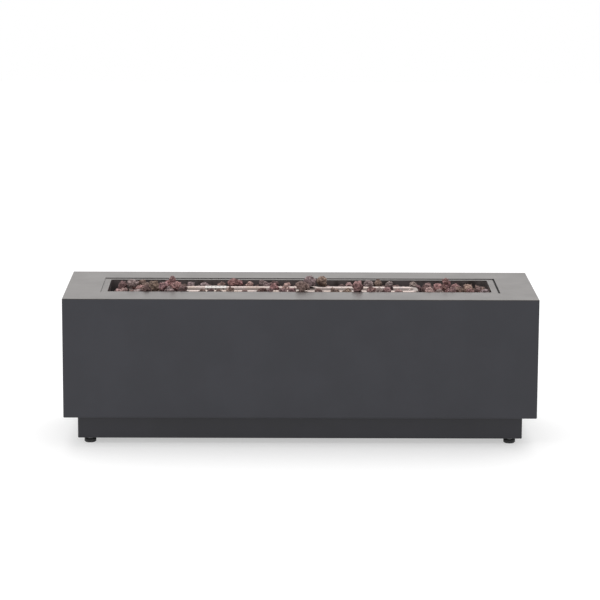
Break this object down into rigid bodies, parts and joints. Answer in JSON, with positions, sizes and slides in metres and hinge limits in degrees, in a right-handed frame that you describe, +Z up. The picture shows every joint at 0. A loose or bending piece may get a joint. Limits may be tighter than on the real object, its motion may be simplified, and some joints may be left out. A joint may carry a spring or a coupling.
{
  "type": "gas fire table",
  "caption": "Low rectangular gas fire table with a folded steel casing on a set-back plinth, a loop burner in a pan of lava rock and recessed controls.",
  "frame": {"origin": "on the floor, under the middle of the table", "axes": "+X along the table to the viewer's right, +Y to its rear, +Z up; the controls are in the -X end"},
  "size_m": [1.27, 0.406, 0.436],
  "materials": {
    "casing_paint": "satin powder coat",
    "plinth_paint": "matt powder coat",
    "frame_paint": "matt primer",
    "pan_coat": "satin heat-proof coat",
    "burner_steel": "brushed, heat tinted",
    "hood_steel": "brushed",
    "pocket_paint": "satin powder coat",
    "zinc_steel": "zinc plated",
    "foot_plastic": "matt",
    "brass": "machined",
    "cast_alloy": "cast",
    "pipe_alloy": "drawn",
    "knob_plastic": "moulded, fine grain",
    "button_plastic": "gloss",
    "insulator": "glazed",
    "lead_rubber": "silicone",
    "capillary": "drawn copper",
    "grommet_rubber": "moulded",
    "lava": "rough, porous"
  },
  "bodies": {
    "frame": {"access_cover": "casing_paint", "access_screws": "zinc_steel", "air_mixer": "cast_alloy", "base_rails": "frame_paint", "burner_loop": "burner_steel", "burner_nipple": "burner_steel", "burner_pan": "pan_coat", "burner_saddles": "burner_steel", "casing_front": "casing_paint", "casing_left": "casing_paint", "casing_rear": "casing_paint", "casing_right": "casing_paint", "control_pocket": "pocket_paint", "corner_posts": "frame_paint", "electrode_insulator": "insulator", "electrode_pin": "hood_steel", "foot_gussets": "plinth_paint", "foot_nuts": "zinc_steel", "gas_inlet": "brass", "gas_pipe": "pipe_alloy", "heat_shield": "hood_steel", "igniter_bracket": "hood_steel", "igniter_hood": "hood_steel", "inlet_nut": "brass", "inlet_pipe": "pipe_alloy", "lava_rocks_1": "lava", "lava_rocks_2": "lava", "lava_rocks_3": "lava", "lava_rocks_4": "lava", "lead_clips": "zinc_steel", "lead_grommets": "grommet_rubber", "orifice_elbow": "brass", "pan_lock_nut": "zinc_steel", "plinth_fasteners": "zinc_steel", "plinth_front": "plinth_paint", "plinth_left": "plinth_paint", "plinth_rear": "plinth_paint", "plinth_right": "plinth_paint", "pocket_nuts": "zinc_steel", "sensor_lead": "capillary", "spark_collar": "zinc_steel", "spark_lead": "lead_rubber", "spark_module": "knob_plastic", "thermocouple": "hood_steel", "top_panel": "casing_paint", "top_rails": "frame_paint", "valve_body": "brass", "valve_nut": "brass"},
    "valve_rotor": {"valve_rotor": "brass"},
    "valve_knob": {"valve_stem": "brass", "control_knob": "knob_plastic"},
    "spark_button": {"spark_button": "button_plastic"},
    "foot_pad_front_left": {"foot_pad_front_left": "foot_plastic"},
    "foot_stud_front_left": {"foot_stud_front_left": "zinc_steel"},
    "foot_pad_front_right": {"foot_pad_front_right": "foot_plastic"},
    "foot_stud_front_right": {"foot_stud_front_right": "zinc_steel"},
    "foot_pad_rear_left": {"foot_pad_rear_left": "foot_plastic"},
    "foot_stud_rear_left": {"foot_stud_rear_left": "zinc_steel"},
    "foot_pad_rear_right": {"foot_pad_rear_right": "foot_plastic"},
    "foot_stud_rear_right": {"foot_stud_rear_right": "zinc_steel"}
  },
  "joints": [
    {"name": "valve_turn", "type": "hinge", "parent": "frame", "child": "valve_rotor", "pos_m": [-0.57, -0.034, 0.285], "axis": [-1, 0, 0], "range_deg": [0, 180]},
    {"name": "knob_push", "type": "slide", "parent": "valve_rotor", "child": "valve_knob", "axis": [1, 0, 0], "range_m": [0, 0.004], "stiffness_N_per_m": 1500, "springref_m": -0.002},
    {"name": "igniter_press", "type": "slide", "parent": "frame", "child": "spark_button", "axis": [1, 0, 0], "range_m": [0, 0.004], "stiffness_N_per_m": 2500, "springref_m": -0.002},
    {"name": "pad_lift_front_left", "type": "slide", "parent": "frame", "child": "foot_pad_front_left", "axis": [0, 0, -1], "range_m": [-0.003, 0.012]},
    {"name": "stud_turn_front_left", "type": "hinge", "parent": "foot_pad_front_left", "child": "foot_stud_front_left", "pos_m": [-0.568, -0.136, 0.02], "axis": [0, 0, -1], "range_deg": [-870, 3470]},
    {"name": "pad_lift_front_right", "type": "slide", "parent": "frame", "child": "foot_pad_front_right", "axis": [0, 0, -1], "range_m": [-0.003, 0.012]},
    {"name": "stud_turn_front_right", "type": "hinge", "parent": "foot_pad_front_right", "child": "foot_stud_front_right", "pos_m": [0.568, -0.136, 0.02], "axis": [0, 0, -1], "range_deg": [-870, 3470]},
    {"name": "pad_lift_rear_left", "type": "slide", "parent": "frame", "child": "foot_pad_rear_left", "axis": [0, 0, -1], "range_m": [-0.003, 0.012]},
    {"name": "stud_turn_rear_left", "type": "hinge", "parent": "foot_pad_rear_left", "child": "foot_stud_rear_left", "pos_m": [-0.568, 0.136, 0.02], "axis": [0, 0, -1], "range_deg": [-870, 3470]},
    {"name": "pad_lift_rear_right", "type": "slide", "parent": "frame", "child": "foot_pad_rear_right", "axis": [0, 0, -1], "range_m": [-0.003, 0.012]},
    {"name": "stud_turn_rear_right", "type": "hinge", "parent": "foot_pad_rear_right", "child": "foot_stud_rear_right", "pos_m": [0.568, 0.136, 0.02], "axis": [0, 0, -1], "range_deg": [-870, 3470]}
  ],
  "couplings": [
    {"joint": "stud_turn_front_left", "follows": "pad_lift_front_left", "rad_per_m": 5026.5},
    {"joint": "stud_turn_front_right", "follows": "pad_lift_front_right", "rad_per_m": 5026.5},
    {"joint": "stud_turn_rear_left", "follows": "pad_lift_rear_left", "rad_per_m": 5026.5},
    {"joint": "stud_turn_rear_right", "follows": "pad_lift_rear_right", "rad_per_m": 5026.5}
  ]
}
